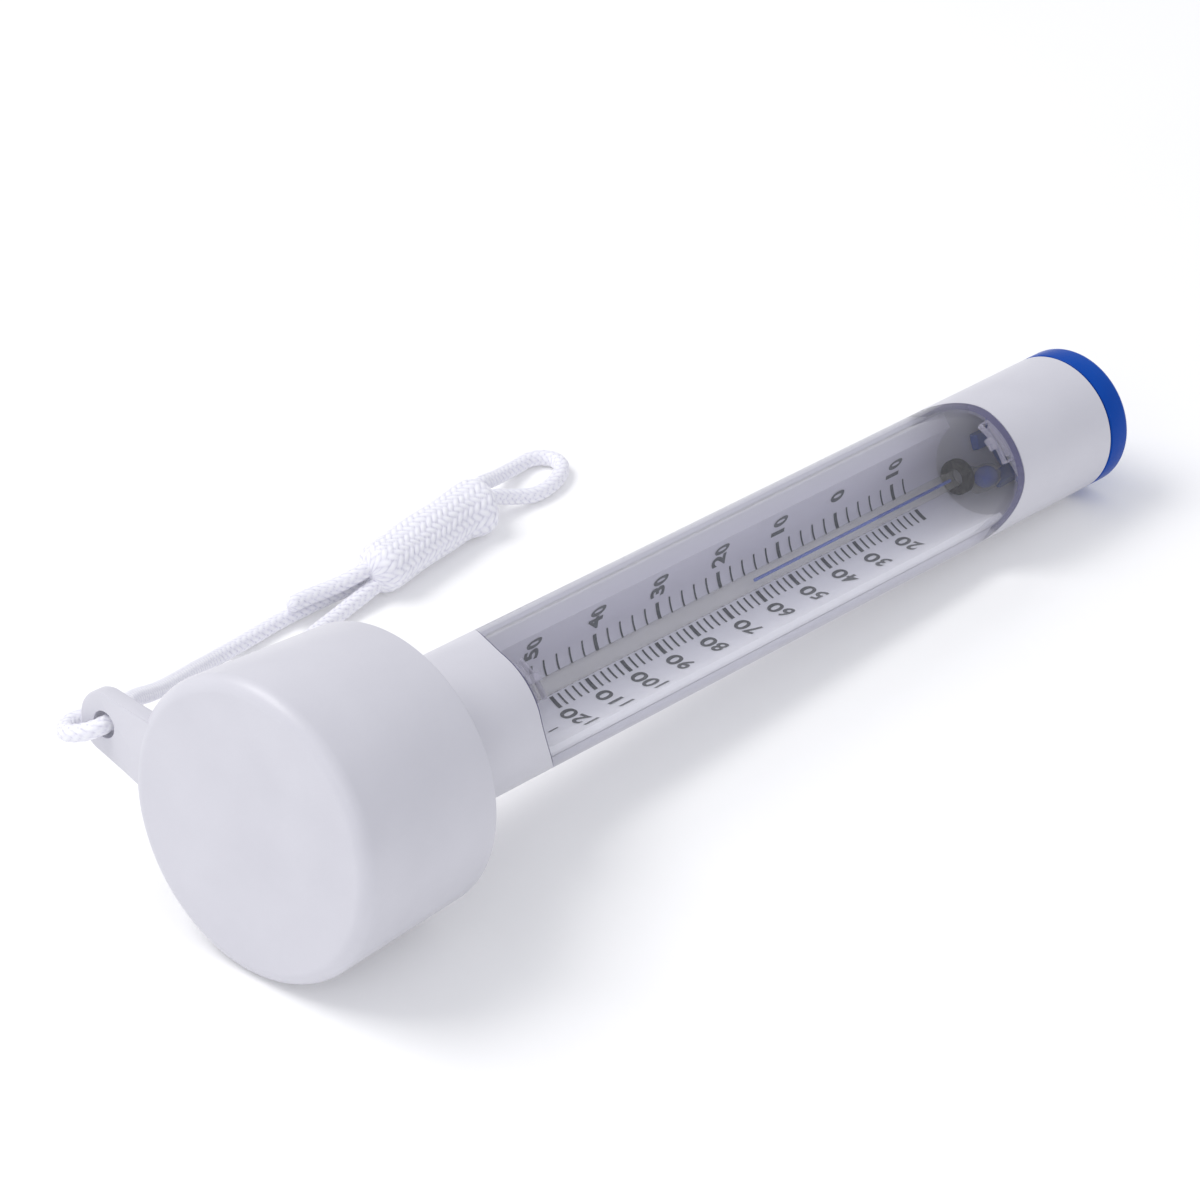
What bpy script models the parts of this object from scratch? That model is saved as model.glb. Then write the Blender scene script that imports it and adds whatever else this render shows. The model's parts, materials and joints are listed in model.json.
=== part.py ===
"""Floating pool thermometer, lying on its side on a table as it is stored.

A hollow float drum with a cord lug carries a tube. A clear half-round window closes the tube's cut-out
side, and behind it a concave scale card holds a glass capillary thermometer with blue liquid. A ballast
weight and a snap-in end cap close the far end. A doubled cord runs from the lug to a barrel knot and an
end loop on the table.

Pieces on the tube are drawn in the tube's own frame: X runs from the float's front face to the end cap,
and an angle of 0 points up, with positive angles turning towards -Y. The empty "tube_axis" tilts that
frame, because the drum is wider than the tube. The cord is drawn in table coordinates.
"""

import math

import bmesh
import bpy
from mathutils import Matrix, Vector

MM = 0.001

# Driving dimensions in millimetres; lengths along the tube start at the float's front face.
FLOAT_RADIUS = 22.0
FLOAT_REAR_RADIUS = 20.7
FLOAT_LENGTH = 26.3
FLOAT_WALL = 1.7
FLOAT_EDGE = 2.2
REAR_EDGE = 0.4
TUBE_RADIUS = 11.0
TUBE_WALL = 1.3
TUBE_START = 12.0
TUBE_END = 177.1
TOTAL_LENGTH = 181.9
CAP_EDGE = 1.0
WINDOW_START = 46.0
WINDOW_END = 155.2
WINDOW_CORNER = 6.0
WINDOW_ANGLE = 45.0
GAP = 0.3

# Float base, the disc that closes the drum and holds the tube.
BASE_START = 23.4
BASE_END = 25.9
COLLAR_START = 15.0
COLLAR_RADIUS = 13.6

# Cord lug on the drum's side.
LUG_ANGLE = -79.0
LUG_START = 0.3
LUG_END = 2.9
LUG_CENTRE = 28.0
LUG_HALF_WIDTH = 4.7
LUG_HOLE_RADIUS = 2.0

# Scale card, an elliptical trough with a lip on each side, and the capillary thermometer.
# The trough is wider on the Fahrenheit side, whose numbers have three digits.
CARD_WIDTH_F = 8.4
CARD_WIDTH_C = 7.0
CARD_DEPTH = 9.1
CARD_LIP = 1.6
CARD_REACH = 9.2
CARD_THICKNESS = 0.25
CARD_START = 47.5
CARD_END = 158.0
STEM_ANGLE = WINDOW_ANGLE - 180.0
STEM_CENTRE = 6.8
STEM_RADIUS = 1.35
BORE_RADIUS = 0.55
STEM_START = 50.0
BULB_ANGLE = -151.0
BULB_RADIUS = 2.1
BULB_CAVITY = 1.75
LIQUID_RADIUS = 0.25
MM_PER_DEGREE = 1.37
ZERO_AT = 133.1
READING = 16.5
TIP_LENGTH = 2.0

# Cord.
CORD_RADIUS = 1.3
KNOT_RADIUS = 4.3
KNOT_EDGE = 3.0

TILT = math.atan2(
    FLOAT_REAR_RADIUS - TUBE_RADIUS,
    (TOTAL_LENGTH - CAP_EDGE) - (FLOAT_LENGTH - REAR_EDGE),
)

# Routes of the cord's free stretches, in table millimetres, from the lug or knot outwards.
STRAND_BACK = [
    (-88.0, 22.4, 27.5), (-86.4, 22.7, 27.35), (-84.5, 23.9, 26.9), (-81.6, 26.6, 25.6),
    (-77.0, 29.8, 22.9), (-71.2, 33.6, 19.2), (-64.6, 37.9, 15.3), (-57.8, 42.3, 11.6),
    (-51.0, 46.6, 8.1), (-45.0, 50.4, 4.9), (-39.0, 53.3, 2.5), (-32.0, 54.6, 1.5),
    (-24.0, 55.0, 1.4), (-16.0, 54.4, 1.5), (-10.6, 53.2, 2.2),
]
STRAND_FRONT = [
    (-89.4, 22.5, 27.45), (-90.6, 22.9, 27.2), (-91.9, 24.4, 26.5), (-92.4, 26.6, 25.7), (-91.4, 28.7, 25.0),
    (-89.0, 29.7, 24.7), (-86.2, 29.0, 24.3), (-82.6, 28.4, 22.6), (-77.4, 28.9, 18.8),
    (-70.6, 30.8, 13.8), (-62.2, 33.8, 8.8), (-53.0, 37.6, 4.9), (-43.2, 41.9, 2.3),
    (-34.0, 45.6, 1.4), (-25.6, 48.2, 1.4), (-17.4, 49.6, 1.5), (-10.6, 50.0, 2.4),
]
END_LOOP = [
    (20.2, 56.0, 5.3), (23.2, 57.2, 4.2), (26.5, 58.4, 3.0), (29.9, 59.4, 2.1), (33.3, 60.1, 1.5),
    (36.1, 60.3, 1.4), (38.3, 59.2, 1.4), (39.1, 57.0, 1.4), (38.0, 54.8, 1.4), (35.4, 53.1, 1.4),
    (32.0, 52.1, 1.4), (28.4, 52.1, 1.5), (24.4, 53.1, 2.5), (20.2, 53.5, 4.0),
]
TAIL = [(-10.8, 51.7, 4.8), (-14.4, 52.6, 4.1), (-17.8, 53.4, 3.9), (-21.0, 53.9, 3.9), (-23.8, 54.0, 3.9)]
KNOT_START = (-9.7, 50.6, KNOT_RADIUS + 0.05)
KNOT_END = (19.4, 54.2, KNOT_RADIUS + 0.05)


def clear_scene():
    for obj in list(bpy.data.objects):
        bpy.data.objects.remove(obj)


def material(name, colour, roughness, metallic=0.0, transmission=0.0):
    made = bpy.data.materials.new(name)
    made.use_nodes = True
    shader = made.node_tree.nodes["Principled BSDF"]
    shader.inputs["Base Color"].default_value = (*colour, 1.0)
    shader.inputs["Roughness"].default_value = roughness
    shader.inputs["Metallic"].default_value = metallic
    shader.inputs["Transmission Weight"].default_value = transmission
    return made


def add_mesh(name, bm, finish, parent):
    """Closes the mesh off with outward faces and puts it in the scene."""
    bmesh.ops.remove_doubles(bm, verts=bm.verts, dist=1e-7)
    bmesh.ops.recalc_face_normals(bm, faces=bm.faces)
    if bm.calc_volume(signed=True) < 0:
        bmesh.ops.reverse_faces(bm, faces=bm.faces)
    mesh = bpy.data.meshes.new(name)
    bm.to_mesh(mesh)
    bm.free()
    mesh.shade_smooth()
    mesh.set_sharp_from_angle(angle=math.radians(35))
    obj = bpy.data.objects.new(name, mesh)
    bpy.context.collection.objects.link(obj)
    obj.parent = parent
    if finish:
        mesh.materials.append(finish)
    return obj


def polar(length, radius, angle):
    """A point of the tube's frame, in metres, from its length, radius and angle in degrees."""
    turn = math.radians(angle)
    return Vector((length, -radius * math.sin(turn), radius * math.cos(turn))) * MM


def fillet(centre, radius, start, end, steps=3):
    """Points of an arc of a profile, as (length, radius) pairs; angles in degrees from +length."""
    points = []
    for i in range(steps + 1):
        turn = math.radians(start + (end - start) * i / steps)
        points.append((centre[0] + radius * math.cos(turn), centre[1] + radius * math.sin(turn)))
    return points


def lathe(name, profile, finish, parent, steps=40, closed=False, centre=None):
    """Spins a profile of (length, radius) pairs about the tube's axis, or about a line through centre."""
    bm = bmesh.new()
    verts = [bm.verts.new(Vector((length, 0.0, radius)) * MM) for length, radius in profile]
    edges = [bm.edges.new(pair) for pair in zip(verts, verts[1:])]
    if closed:
        edges.append(bm.edges.new((verts[-1], verts[0])))
    bmesh.ops.spin(
        bm, geom=verts + edges, cent=(0, 0, 0), axis=(1, 0, 0), angle=math.tau, steps=steps,
        use_duplicate=False,
    )
    if centre:
        bmesh.ops.translate(bm, verts=bm.verts, vec=polar(0.0, *centre))
    return add_mesh(name, bm, finish, parent)


def ring(name, start, end, inner, outer, finish, parent, steps=40, centre=None):
    profile = [(start, inner), (end, inner), (end, outer), (start, outer)]
    return lathe(name, profile, finish, parent, steps, True, centre)


def o_ring(name, at, radius, section, finish, parent, steps=40):
    profile = fillet((at, radius), section, 0, 315, 7)
    return lathe(name, profile, finish, parent, steps, True)


def prism(name, outline, low, high, parent, turn=0.0):
    """A straight prism: outline in the (length, side) plane, pushed from low to high along the turned up."""
    bm = bmesh.new()
    bottom = [bm.verts.new(Vector((x, y, low)) * MM) for x, y in outline]
    face = bm.faces.new(bottom)
    pushed = bmesh.ops.extrude_face_region(bm, geom=[face])
    top = [item for item in pushed["geom"] if isinstance(item, bmesh.types.BMVert)]
    bmesh.ops.translate(bm, verts=top, vec=Vector((0, 0, high - low)) * MM)
    bmesh.ops.rotate(bm, verts=bm.verts, cent=(0, 0, 0), matrix=Matrix.Rotation(math.radians(turn), 3, "X"))
    return add_mesh(name, bm, None, parent)


def combine(obj, other, operation):
    """Applies a Boolean with a hidden helper to an object, keeping the modifier live."""
    other.hide_render = True
    other.display_type = "WIRE"
    modifier = obj.modifiers.new(f"{operation.lower()}_{other.name}", "BOOLEAN")
    modifier.operation = operation
    modifier.object = other
    modifier.solver = "EXACT"


def oblong(start, end, half):
    """The outline of a block between two lengths, as wide as half to each side."""
    return [(start, -half), (end, -half), (end, half), (start, half)]


def window_outline(inset):
    """The window seen from its front: a slot as wide as the tube with rounded corners."""
    start = WINDOW_START + inset
    end = WINDOW_END - inset
    corner = WINDOW_CORNER
    flat = TUBE_RADIUS - corner
    beyond = TUBE_RADIUS + 2.0
    right = fillet((end - corner, flat), corner, 0, 90, 6)
    left = fillet((start + corner, flat), corner, 90, 180, 6)
    upper = right + [(end - corner, beyond), (start + corner, beyond)] + left
    lower = [(x, -y) for x, y in reversed(upper)]
    return upper + lower


def make_float(parent, white, rubber):
    inner = FLOAT_RADIUS - FLOAT_WALL
    profile = [(0.0, 0.0)]
    profile += fillet((FLOAT_EDGE, FLOAT_RADIUS - FLOAT_EDGE), FLOAT_EDGE, 180, 90, 4)
    profile += fillet((FLOAT_LENGTH - REAR_EDGE, FLOAT_REAR_RADIUS - REAR_EDGE), REAR_EDGE, 87, 0, 2)
    profile += [(FLOAT_LENGTH, 19.2), (3.8, inner), (FLOAT_WALL, 18.4), (FLOAT_WALL, 0.0)]
    shell = lathe("float_shell", profile, white, parent, 48)

    root = 19.7
    rounded = fillet((LUG_CENTRE, 0.0), LUG_HALF_WIDTH, -90, 90, 10)
    lug = flat_plate("lug_blank", [(root, -LUG_HALF_WIDTH)] + rounded + [(root, LUG_HALF_WIDTH)], parent)
    hole = fillet((LUG_CENTRE, 0.0), LUG_HOLE_RADIUS, 0, 345, 15)
    eyelet = flat_plate("eyelet_cutter", hole, parent, 1.0)
    combine(shell, lug, "UNION")
    combine(shell, eyelet, "DIFFERENCE")

    rim = 18.8
    groove = 17.5
    base = [(BASE_START, TUBE_RADIUS + GAP), (BASE_END, TUBE_RADIUS + GAP), (BASE_END, rim)]
    base += [(25.4, rim), (25.4, groove), (24.0, groove), (24.0, rim), (BASE_START, rim)]
    base += [(BASE_START, COLLAR_RADIUS), (COLLAR_START, COLLAR_RADIUS), (COLLAR_START, TUBE_RADIUS + GAP)]
    base += [(18.0, TUBE_RADIUS + GAP), (18.0, 12.6), (19.8, 12.6), (19.8, TUBE_RADIUS + GAP)]
    lathe("float_base", base, white, parent, 48, True)
    o_ring("float_seal", 24.7, 18.25, 0.55, rubber, parent, 48)
    o_ring("neck_seal", 18.9, 11.95, 0.5, rubber, parent)


def flat_plate(name, outline, parent, extra=0.0):
    """A plate across the tube's frame at the lug: outline in the (radial, sideways) plane."""
    bm = bmesh.new()
    out = polar(0.0, 1.0, LUG_ANGLE)
    side = polar(0.0, 1.0, LUG_ANGLE + 90.0)
    start = Vector((LUG_START - extra, 0, 0)) * MM
    length = Vector((LUG_END - LUG_START + 2 * extra, 0, 0)) * MM
    verts = [bm.verts.new(start + out * u + side * v) for u, v in outline]
    pushed = bmesh.ops.extrude_face_region(bm, geom=[bm.faces.new(verts)])
    moved = [item for item in pushed["geom"] if isinstance(item, bmesh.types.BMVert)]
    bmesh.ops.translate(bm, verts=moved, vec=length)
    return add_mesh(name, bm, None, parent)


def make_tube(parent, white, clear):
    inner = TUBE_RADIUS - TUBE_WALL
    tube = ring("body_tube", TUBE_START, TUBE_END, inner, TUBE_RADIUS, white, parent)
    slot = prism("window_cutter", window_outline(0.0), 0.0, 2 * TUBE_RADIUS, parent, WINDOW_ANGLE)
    combine(tube, slot, "DIFFERENCE")

    window = ring("window", WINDOW_START - 2, WINDOW_END + 2, inner, TUBE_RADIUS, clear, parent)
    shape = prism("window_shape", window_outline(GAP), GAP, 2 * TUBE_RADIUS, parent, WINDOW_ANGLE)
    combine(window, shape, "INTERSECT")
    for name, low, high, half in (("rear_tab", 48.2, 49.6, 2.6), ("front_tab", 153.0, 154.2, 3.4)):
        tab = prism(name, oblong(low, high, half), inner - 1.0, inner + 0.4, parent, WINDOW_ANGLE)
        combine(window, tab, "UNION")

    plug = [(12.4, 0.0), (12.4, 9.4), (16.0, 9.4), (16.0, 8.0), (13.9, 8.0), (13.9, 0.0)]
    lathe("tube_plug", plug, white, parent)


def make_card(parent, paper):
    limit = math.degrees(math.acos(CARD_LIP / CARD_DEPTH))
    lip = -CARD_LIP + 0.35
    face = [(-CARD_REACH, lip)]
    for i in range(25):
        turn = math.radians(-limit + 2 * limit * i / 24)
        width = CARD_WIDTH_F if turn < 0 else CARD_WIDTH_C
        face.append((width * math.sin(turn), -CARD_DEPTH * math.cos(turn)))
    face.append((CARD_REACH, lip))
    back = [(side, height - CARD_THICKNESS) for side, height in reversed(face)]
    up = polar(0.0, 1.0, WINDOW_ANGLE)
    across = polar(0.0, 1.0, WINDOW_ANGLE - 90.0)
    start = Vector((CARD_START * MM, 0, 0))
    bm = bmesh.new()
    verts = [bm.verts.new(start + across * side + up * height) for side, height in face + back]
    pushed = bmesh.ops.extrude_face_region(bm, geom=[bm.faces.new(verts)])
    moved = [item for item in pushed["geom"] if isinstance(item, bmesh.types.BMVert)]
    bmesh.ops.translate(bm, verts=moved, vec=Vector(((CARD_END - CARD_START) * MM, 0, 0)))
    add_mesh("scale_card", bm, paper, parent)


def glass_axis():
    """Stations on the middle line of the glass: the stem, the small bend below it and the bulb."""
    stem = [polar(length, STEM_CENTRE, STEM_ANGLE) for length in (STEM_START, 100.0, 160.4)]
    bend = [polar(160.9, 6.85, -137.0), polar(162.2, 7.0, -144.0)]
    bulb = [polar(length, 7.2, BULB_ANGLE) for length in (163.0, 163.8, 166.2, 167.0)]
    return stem, bend, bulb


def tapered_tube(name, stations, finish, parent):
    """A round-section tube along points that each have a radius, as a mesh with closed ends."""
    curve = bpy.data.curves.new(name, "CURVE")
    curve.dimensions = "3D"
    curve.bevel_depth = MM
    curve.bevel_resolution = 3
    curve.use_fill_caps = True
    spline = curve.splines.new("POLY")
    spline.points.add(len(stations) - 1)
    for point, (place, radius) in zip(spline.points, stations):
        point.co = (*place, 1.0)
        point.radius = radius
    guide = bpy.data.objects.new(name + "_guide", curve)
    bpy.context.collection.objects.link(guide)
    mesh = bpy.data.meshes.new_from_object(guide.evaluated_get(bpy.context.evaluated_depsgraph_get()))
    bpy.data.objects.remove(guide)
    bm = bmesh.new()
    bm.from_mesh(mesh)
    return add_mesh(name, bm, finish, parent)


def make_thermometer(parent, glass, blue, rubber):
    stem, bend, bulb = glass_axis()
    outer = [(place, STEM_RADIUS) for place in stem]
    outer += list(zip(bend, (1.45, 1.8)))
    outer += list(zip(bulb, (BULB_RADIUS, BULB_RADIUS, BULB_RADIUS, 1.2)))
    glass_tube = tapered_tube("thermometer_glass", outer, glass, parent)
    above = polar(STEM_START - 1, STEM_CENTRE, STEM_ANGLE)
    hollow = [(place, BORE_RADIUS) for place in [above] + stem[1:]]
    hollow += list(zip(bend, (0.6, 1.2)))
    hollow += list(zip(bulb[:3], (BULB_CAVITY, BULB_CAVITY, BULB_CAVITY - 0.2)))
    bore = tapered_tube("bore_cutter", hollow, None, parent)
    combine(glass_tube, bore, "DIFFERENCE")

    inset = Vector((0.3 * MM, 0, 0))
    liquid = [(bulb[0] + inset, 1.2), (bulb[1], 1.45), (bulb[2] - inset, 1.35)]
    tapered_tube("bulb_liquid", liquid, blue, parent)
    level = ZERO_AT - MM_PER_DEGREE * READING
    lathe_rod("column_tip", level, level + TIP_LENGTH, LIQUID_RADIUS, blue, parent, 12)
    lathe_rod("liquid_column", level + TIP_LENGTH + 0.05, 157.5, LIQUID_RADIUS, blue, parent, 12)
    lathe_rod("glass_tip", STEM_START - 1.5, STEM_START - GAP, 1.1, glass, parent, 16)
    ring("upper_grommet", 52.0, 55.0, 1.65, 1.95, rubber, parent, 20, (STEM_CENTRE, STEM_ANGLE))
    ring("lower_grommet", 158.6, 160.3, 1.7, 2.8, rubber, parent, 24, (STEM_CENTRE, STEM_ANGLE))


def lathe_rod(name, start, end, radius, finish, parent, steps):
    """A plain rod on the stem's line."""
    profile = [(start, 0.0), (start, radius), (end, radius), (end, 0.0)]
    return lathe(name, profile, finish, parent, steps, False, (STEM_CENTRE, STEM_ANGLE))


def make_end(parent, blue, steel, rubber):
    skirt = 9.4
    inner = 7.9
    root = 172.0
    edge = fillet((TOTAL_LENGTH - CAP_EDGE, TUBE_RADIUS - CAP_EDGE), CAP_EDGE, 90, 0, 3)
    profile = [(177.4, 0.0), (177.4, inner), (167.6, inner), (167.6, skirt), (173.2, skirt), (173.2, 8.4)]
    profile += [(174.8, 8.4), (174.8, skirt), (177.4, skirt), (177.4, TUBE_RADIUS)] + edge
    profile += [(TOTAL_LENGTH, 0.0)]
    cap = lathe("end_cap", profile, blue, parent)
    for i in range(4):
        across = oblong(166.0, root, 12.0)
        slot = prism(f"finger_slot_{i}", across, -2.2, 2.2, parent, i * 45.0 + 2.5)
        combine(cap, slot, "DIFFERENCE")
    o_ring("cap_seal", 174.0, 8.95, 0.45, rubber, parent)

    weight = [(168.6, 0.0), (168.6, 6.6), (169.2, 7.2), (176.4, 7.2), (177.0, 6.6), (177.0, 0.0)]
    ballast = lathe("ballast_weight", weight, steel, parent, 32)
    block = oblong(160.0, 180.0, 12.0)
    flat = prism("ballast_flat", block, -12.0, -4.4, parent, WINDOW_ANGLE)
    combine(ballast, flat, "DIFFERENCE")


def smooth_route(points, spacing):
    """Points about every spacing along one Catmull-Rom curve through the route's own points."""
    route = [Vector(point) * MM for point in points]
    route = [2 * route[0] - route[1]] + route + [2 * route[-1] - route[-2]]
    fine = []
    for a, b, c, d in zip(route, route[1:], route[2:], route[3:]):
        for i in range(12):
            t = i / 12
            bend = (2 * a - 5 * b + 4 * c - d) * t**2
            twist = (3 * b - a - 3 * c + d) * t**3
            fine.append(0.5 * (2 * b + (c - a) * t + bend + twist))
    fine.append(route[-2])
    kept = [fine[0]]
    for point in fine[1:-1]:
        if (point - kept[-1]).length >= spacing * MM and (point - fine[-1]).length >= 0.6 * spacing * MM:
            kept.append(point)
    return kept + [fine[-1]]


def cord(name, points, finish, spacing=4.0 * CORD_RADIUS):
    """A tube of cord along a smooth route on the table, with a point about every spacing."""
    curve = bpy.data.curves.new(name, "CURVE")
    curve.dimensions = "3D"
    curve.bevel_depth = CORD_RADIUS * MM
    curve.bevel_resolution = 2
    curve.use_fill_caps = True
    curve.materials.append(finish)
    places = smooth_route(points, spacing)
    spline = curve.splines.new("POLY")
    spline.points.add(len(places) - 1)
    for point, place in zip(spline.points, places):
        point.co = (*place, 1.0)
    obj = bpy.data.objects.new(name, curve)
    bpy.context.collection.objects.link(obj)
    return obj


def make_cord(cotton):
    cord("cord_strand_back", STRAND_BACK, cotton)
    # This strand folds tightly round the lug, so its points are closer.
    cord("cord_strand_front", STRAND_FRONT, cotton, 2.0 * CORD_RADIUS)
    cord("cord_end_loop", END_LOOP, cotton)
    cord("cord_tail", TAIL, cotton)
    start = Vector(KNOT_START)
    along = Vector(KNOT_END) - start
    length = along.length
    shoulder = KNOT_RADIUS - KNOT_EDGE
    profile = [(0.0, 0.0)] + fillet((KNOT_EDGE, shoulder), KNOT_EDGE, 180, 90)
    profile += fillet((length - KNOT_EDGE, shoulder), KNOT_EDGE, 90, 0) + [(length, 0.0)]
    knot = lathe("cord_knot", profile, cotton, None, 24)
    knot.location = start * MM
    knot.rotation_euler = (0.0, 0.0, math.atan2(along.y, along.x))


def stand(parent):
    """Moves the thermometer so that it rests at height 0 over the middle of its box."""
    bpy.context.view_layer.update()
    graph = bpy.context.evaluated_depsgraph_get()
    corners = []
    for obj in parent.children:
        if obj.hide_render:
            continue
        mesh = obj.evaluated_get(graph).to_mesh()
        corners += [obj.matrix_world @ vert.co for vert in mesh.vertices]
    low = Vector([min(corner[i] for corner in corners) for i in range(3)])
    high = Vector([max(corner[i] for corner in corners) for i in range(3)])
    parent.location = -Vector(((low.x + high.x) / 2, (low.y + high.y) / 2, low.z))


def main():
    clear_scene()
    white = material("white_plastic", (0.78, 0.78, 0.82), 0.32)
    clear = material("clear_plastic", (0.95, 0.95, 1.0), 0.05, transmission=1.0)
    paper = material("printed_card", (0.80, 0.80, 0.83), 0.6)
    glass = material("glass", (0.85, 0.90, 0.85), 0.03, transmission=1.0)
    blue_liquid = material("blue_liquid", (0.02, 0.07, 0.45), 0.1)
    blue = material("blue_plastic", (0.01, 0.10, 0.50), 0.35)
    rubber = material("black_rubber", (0.03, 0.03, 0.03), 0.7)
    steel = material("steel", (0.45, 0.45, 0.47), 0.35, metallic=1.0)
    cotton = material("braided_cord", (0.82, 0.82, 0.88), 0.8)

    tube_axis = bpy.data.objects.new("tube_axis", None)
    bpy.context.collection.objects.link(tube_axis)
    tube_axis.rotation_euler = (0.0, TILT, 0.0)
    make_float(tube_axis, white, rubber)
    make_tube(tube_axis, white, clear)
    make_card(tube_axis, paper)
    make_thermometer(tube_axis, glass, blue_liquid, rubber)
    make_end(tube_axis, blue, steel, rubber)
    make_cord(cotton)
    stand(tube_axis)


main()
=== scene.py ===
"""Looks of the floating pool thermometer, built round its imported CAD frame.

The plastic, the printed card, the glass and the braided cord are finer stand-ins for the CAD nodes. Pieces
on the tube are made in the tube's own frame: X runs from the float's front face to the end cap, and an angle
of 0 points up, with positive angles turning towards -Y. Dimensions are in millimetres, and MM turns them
into metres.
"""

import json
import math

import bmesh
import bpy
import numpy as np
from mathutils import Matrix, Vector


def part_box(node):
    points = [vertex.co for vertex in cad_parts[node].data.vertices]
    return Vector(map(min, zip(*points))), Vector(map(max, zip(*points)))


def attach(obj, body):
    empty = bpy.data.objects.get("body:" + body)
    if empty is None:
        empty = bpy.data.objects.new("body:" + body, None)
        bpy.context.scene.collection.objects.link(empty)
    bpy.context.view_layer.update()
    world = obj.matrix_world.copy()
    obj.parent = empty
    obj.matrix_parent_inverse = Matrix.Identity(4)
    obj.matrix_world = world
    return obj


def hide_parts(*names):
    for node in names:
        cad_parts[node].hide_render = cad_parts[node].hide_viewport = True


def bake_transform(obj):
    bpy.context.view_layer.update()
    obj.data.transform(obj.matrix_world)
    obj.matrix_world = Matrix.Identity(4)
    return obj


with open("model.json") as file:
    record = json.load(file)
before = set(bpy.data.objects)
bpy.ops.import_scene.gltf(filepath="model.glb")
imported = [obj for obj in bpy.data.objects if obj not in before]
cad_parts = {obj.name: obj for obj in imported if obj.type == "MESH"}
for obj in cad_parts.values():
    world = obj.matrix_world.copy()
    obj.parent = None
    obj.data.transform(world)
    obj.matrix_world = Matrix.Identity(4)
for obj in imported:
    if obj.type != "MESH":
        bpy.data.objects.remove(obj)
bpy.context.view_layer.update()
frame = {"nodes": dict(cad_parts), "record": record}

MM = 0.001
SHARP_ANGLE = 32.0
BODY = "thermometer"
TOP = "liquid_top"

# Camera, in metres, with its lens in millimetres for a 36 mm sensor.
CAMERA_PLACE = (-0.46286, -0.39735, 0.38040)
CAMERA_RIGHT = (0.6634, -0.7483, 0.0)
CAMERA_FORWARD = (0.6423, 0.5694, -0.5131)
CAMERA_LENS = 147.3

# Float, tube and window, as in the CAD. The strips are shares of the clear cover's length, with painted shade
# at its left end and a painted highlight at its right end.
FLOAT_RADIUS = 22.0
FLOAT_REAR_RADIUS = 20.7
FLOAT_LENGTH = 26.3
FLOAT_EDGE = 2.2
REAR_EDGE = 0.4
FLOAT_WALL = 1.7
DISC_START = 23.4
DISC_FACE = 25.9
DISC_RADIUS = 18.8
GROOVE_START = 24.0
GROOVE_END = 25.4
GROOVE_RADIUS = 17.5
DISC_EDGE = 0.15
COLLAR_START = 15.0
COLLAR_RADIUS = 13.6
TUBE_RADIUS = 11.0
TUBE_INNER = 9.7
TUBE_START = 12.0
TUBE_END = 177.1
TUBE_EDGE = 0.15
TOTAL_LENGTH = 181.9
CAP_START = 177.4
CAP_INNER_EDGE = 0.25
CAP_EDGE = 1.0
SKIRT_START = 171.8
SKIRT_SHOULDER = 174.9
SKIRT_INNER = 7.9
SKIRT_NECK = 8.5
SKIRT_OUTER = 9.4
FINGER_COUNT = 8
FINGER_START = 167.6
FINGER_ANGLE = 25.0
FINGER_HALF_ANGLE = 8.5
WINDOW_START = 46.0
WINDOW_END = 155.2
WINDOW_CORNER = 6.0
WINDOW_ANGLE = 45.0
WINDOW_HALF_ANGLE = 88.4
PAINTED_SHADE_STRIP = 0.011
PAINTED_HIGHLIGHT_STRIP = 0.0065
CLIP_INNER = 8.9
GAP = 0.3

# Lug with its eyelet hole.
LUG_ANGLE = -79.0
LUG_START = 0.3
LUG_END = 2.9
LUG_CENTRE = 28.0
LUG_HALF_WIDTH = 4.7
LUG_HOLE_RADIUS = 2.0
LUG_EDGE = 0.45
LUG_EDGE_STEP = 0.13
LUG_ROOT = 19.6
LUG_ROOT_FLARE = 0.6

# Card: an elliptical trough with a lip on each side, wider on the Fahrenheit side.
CARD_START = 47.5
CARD_END = 158.0
CARD_WIDTH_F = 8.4
CARD_WIDTH_C = 7.0
CARD_DEPTH = 9.1
CARD_LIP = 1.6
CARD_REACH = 9.5
CARD_LIP_RISE = 0.35
CARD_THICKNESS = 0.25

# Print: both scales count from the length of 0 degrees Celsius. Marks and numbers are placed by their
# distance along the card's face from its middle line.
MM_PER_DEGREE = 1.37
ZERO_AT = 133.1
THIN_MARK = 0.36
THICK_MARK = 0.75
DIGIT_HEIGHT = 2.9
FONT_HEIGHT = 0.72
MARKS_C = (1.4, 3.95)
MARKS_F = (-1.45, -3.65)
NUMBERS_C = 7.0
NUMBERS_F = -6.5
LONG_NUMBERS_F = -7.1
WEIGHT_C = 0.055
WEIGHT_F = 0.035
PRINT_DASH = 61.2
PRINT_LIFT = 0.06

# Glass and liquid.
STEM_ANGLE = WINDOW_ANGLE - 180.0
STEM_CENTRE = 6.8
STEM_RADIUS = 1.35
STEM_START = 50.0
STEM_END = 160.4
BULB_ANGLE = -151.0
BULB_CENTRE = 7.2
LIQUID_RADIUS = 0.25
COLUMN_END = 157.5
TIP_LENGTH = 2.0
SEAT_START = 158.6
SEAT_END = 160.3
SEAT_RADIUS = 2.8
SEAT_EDGE = 0.3
SEAT_BORE = 1.5

# Cord: a braid of this many yarns each way, and its barrel knot with a lump near one end.
CORD_RADIUS = 1.3
CORD_SIDES = 30
CORD_STEP = 0.25
YARNS = 8
YARN_RELIEF = 0.17
BRAID_PITCH = 11.0
KNOT_RADIUS = 4.3
KNOT_EDGE = 3.0
KNOT_YARNS = 20
KNOT_PITCH = 28.0
KNOT_RELIEF = 0.22
KNOT_SIDES = 120
KNOT_SLACK = 0.2
LUMP_TURN = -0.3
LUMP_PLACE = 4.2
LUMP_LENGTH = 2.6
LUMP_HEIGHT = 1.3
KNOT_START = Vector((-9.7, 50.6, KNOT_RADIUS + 0.05))
KNOT_END = Vector((19.4, 54.2, KNOT_RADIUS + 0.05))

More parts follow.
